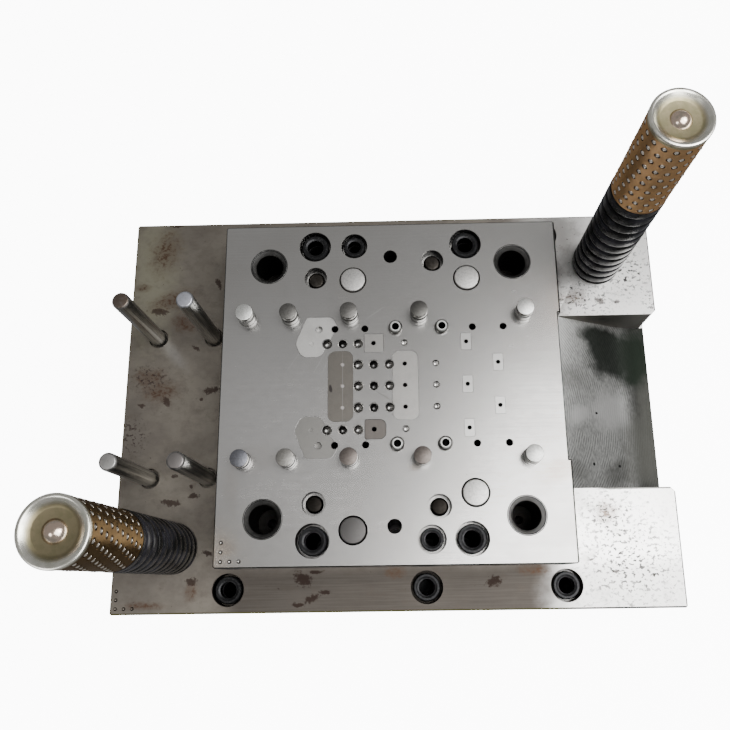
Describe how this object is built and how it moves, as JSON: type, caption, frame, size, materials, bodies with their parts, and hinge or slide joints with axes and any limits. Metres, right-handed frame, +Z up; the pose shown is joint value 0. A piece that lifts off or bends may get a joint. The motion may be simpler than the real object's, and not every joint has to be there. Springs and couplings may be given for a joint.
{
  "type": "press die set",
  "caption": "Lower half of a progressive press die: shoe on risers, die plate with stations, sprung strip lifters, guide posts with ball cages, side exit chute.",
  "frame": {"origin": "on the floor under the middle of the shoe", "axes": "+X along the feed of the strip, towards the exit chute; +Y to the rear; +Z up"},
  "size_m": [0.34, 0.25, 0.2812],
  "materials": {
    "shoe_steel": "milled, lightly rusted",
    "ground_steel": "surface ground",
    "insert_light": "ground",
    "insert_grey": "ground",
    "insert_dark": "ground carbide",
    "bush_steel": "honed",
    "dowel_steel": "ground",
    "disc_steel": "ground",
    "pin_steel": "polished",
    "lifter_steel": "polished",
    "black_oxide": "black oxide",
    "spring_black": "black enamel",
    "cage_brass": "brown brass",
    "zinc_plate": "yellow zinc plate",
    "cap_screw_copper": "polished"
  },
  "bodies": {
    "die_set": {"riser_front": "shoe_steel", "riser_rear": "shoe_steel", "die_shoe": "shoe_steel", "backing_plate": "ground_steel", "die_plate": "ground_steel", "pear_insert_rear": "insert_light", "pear_insert_front": "insert_grey", "slot_insert": "insert_dark", "bar_insert": "insert_light", "square_insert": "insert_light", "dee_insert": "insert_dark", "button_inserts": "insert_light", "guide_bushes": "bush_steel", "dowel_pins": "dowel_steel", "stop_discs": "disc_steel", "feed_pins": "pin_steel", "plate_screws": "black_oxide", "small_plate_screws": "black_oxide", "riser_screws": "black_oxide", "lifter_plugs": "black_oxide", "pilot_plugs": "black_oxide", "guide_post_rear": "pin_steel", "guide_post_front": "pin_steel", "cage_spring_rear": "spring_black", "cage_spring_front": "spring_black", "post_caps": "zinc_plate", "cap_screws": "cap_screw_copper", "lifter_spring_1": "spring_black", "lifter_spring_2": "spring_black", "lifter_spring_3": "spring_black", "lifter_spring_4": "spring_black", "lifter_spring_5": "spring_black", "lifter_spring_6": "spring_black", "lifter_spring_7": "spring_black", "lifter_spring_8": "spring_black", "lifter_spring_9": "spring_black", "lifter_spring_10": "spring_black", "pilot_spring_1": "spring_black", "pilot_spring_2": "spring_black", "pilot_spring_3": "spring_black", "pilot_spring_4": "spring_black"},
    "cage_rear": {"ball_cage_rear": "cage_brass"},
    "cage_front": {"ball_cage_front": "cage_brass"},
    "lifter_1": {"strip_lifter_1": "lifter_steel"},
    "lifter_2": {"strip_lifter_2": "lifter_steel"},
    "lifter_3": {"strip_lifter_3": "lifter_steel"},
    "lifter_4": {"strip_lifter_4": "lifter_steel"},
    "lifter_5": {"strip_lifter_5": "lifter_steel"},
    "lifter_6": {"strip_lifter_6": "lifter_steel"},
    "lifter_7": {"strip_lifter_7": "lifter_steel"},
    "lifter_8": {"strip_lifter_8": "lifter_steel"},
    "lifter_9": {"strip_lifter_9": "lifter_steel"},
    "lifter_10": {"strip_lifter_10": "lifter_steel"},
    "pilot_1": {"pilot_lifter_1": "lifter_steel"},
    "pilot_2": {"pilot_lifter_2": "lifter_steel"},
    "pilot_3": {"pilot_lifter_3": "lifter_steel"},
    "pilot_4": {"pilot_lifter_4": "lifter_steel"}
  },
  "joints": [
    {"name": "cage_slide_rear", "type": "slide", "parent": "die_set", "child": "cage_rear", "axis": [0, 0, -1], "range_m": [0, 0.025], "stiffness_N_per_m": 300, "springref_m": -0.01, "deforming": ["cage_spring_rear"]},
    {"name": "cage_slide_front", "type": "slide", "parent": "die_set", "child": "cage_front", "axis": [0, 0, -1], "range_m": [0, 0.025], "stiffness_N_per_m": 300, "springref_m": -0.01, "deforming": ["cage_spring_front"]},
    {"name": "lifter_slide_1", "type": "slide", "parent": "die_set", "child": "lifter_1", "axis": [0, 0, -1], "range_m": [0, 0.006], "stiffness_N_per_m": 1000, "springref_m": -0.005, "deforming": ["lifter_spring_1"]},
    {"name": "lifter_slide_2", "type": "slide", "parent": "die_set", "child": "lifter_2", "axis": [0, 0, -1], "range_m": [0, 0.006], "stiffness_N_per_m": 1000, "springref_m": -0.005, "deforming": ["lifter_spring_2"]},
    {"name": "lifter_slide_3", "type": "slide", "parent": "die_set", "child": "lifter_3", "axis": [0, 0, -1], "range_m": [0, 0.006], "stiffness_N_per_m": 1000, "springref_m": -0.005, "deforming": ["lifter_spring_3"]},
    {"name": "lifter_slide_4", "type": "slide", "parent": "die_set", "child": "lifter_4", "axis": [0, 0, -1], "range_m": [0, 0.006], "stiffness_N_per_m": 1000, "springref_m": -0.005, "deforming": ["lifter_spring_4"]},
    {"name": "lifter_slide_5", "type": "slide", "parent": "die_set", "child": "lifter_5", "axis": [0, 0, -1], "range_m": [0, 0.006], "stiffness_N_per_m": 1000, "springref_m": -0.005, "deforming": ["lifter_spring_5"]},
    {"name": "lifter_slide_6", "type": "slide", "parent": "die_set", "child": "lifter_6", "axis": [0, 0, -1], "range_m": [0, 0.006], "stiffness_N_per_m": 1000, "springref_m": -0.005, "deforming": ["lifter_spring_6"]},
    {"name": "lifter_slide_7", "type": "slide", "parent": "die_set", "child": "lifter_7", "axis": [0, 0, -1], "range_m": [0, 0.006], "stiffness_N_per_m": 1000, "springref_m": -0.005, "deforming": ["lifter_spring_7"]},
    {"name": "lifter_slide_8", "type": "slide", "parent": "die_set", "child": "lifter_8", "axis": [0, 0, -1], "range_m": [0, 0.006], "stiffness_N_per_m": 1000, "springref_m": -0.005, "deforming": ["lifter_spring_8"]},
    {"name": "lifter_slide_9", "type": "slide", "parent": "die_set", "child": "lifter_9", "axis": [0, 0, -1], "range_m": [0, 0.006], "stiffness_N_per_m": 1000, "springref_m": -0.005, "deforming": ["lifter_spring_9"]},
    {"name": "lifter_slide_10", "type": "slide", "parent": "die_set", "child": "lifter_10", "axis": [0, 0, -1], "range_m": [0, 0.006], "stiffness_N_per_m": 1000, "springref_m": -0.005, "deforming": ["lifter_spring_10"]},
    {"name": "pilot_slide_1", "type": "slide", "parent": "die_set", "child": "pilot_1", "axis": [0, 0, -1], "range_m": [0, 0.0035], "stiffness_N_per_m": 1000, "springref_m": -0.004, "deforming": ["pilot_spring_1"]},
    {"name": "pilot_slide_2", "type": "slide", "parent": "die_set", "child": "pilot_2", "axis": [0, 0, -1], "range_m": [0, 0.0035], "stiffness_N_per_m": 1000, "springref_m": -0.004, "deforming": ["pilot_spring_2"]},
    {"name": "pilot_slide_3", "type": "slide", "parent": "die_set", "child": "pilot_3", "axis": [0, 0, -1], "range_m": [0, 0.0035], "stiffness_N_per_m": 1000, "springref_m": -0.004, "deforming": ["pilot_spring_3"]},
    {"name": "pilot_slide_4", "type": "slide", "parent": "die_set", "child": "pilot_4", "axis": [0, 0, -1], "range_m": [0, 0.0035], "stiffness_N_per_m": 1000, "springref_m": -0.004, "deforming": ["pilot_spring_4"]}
  ]
}
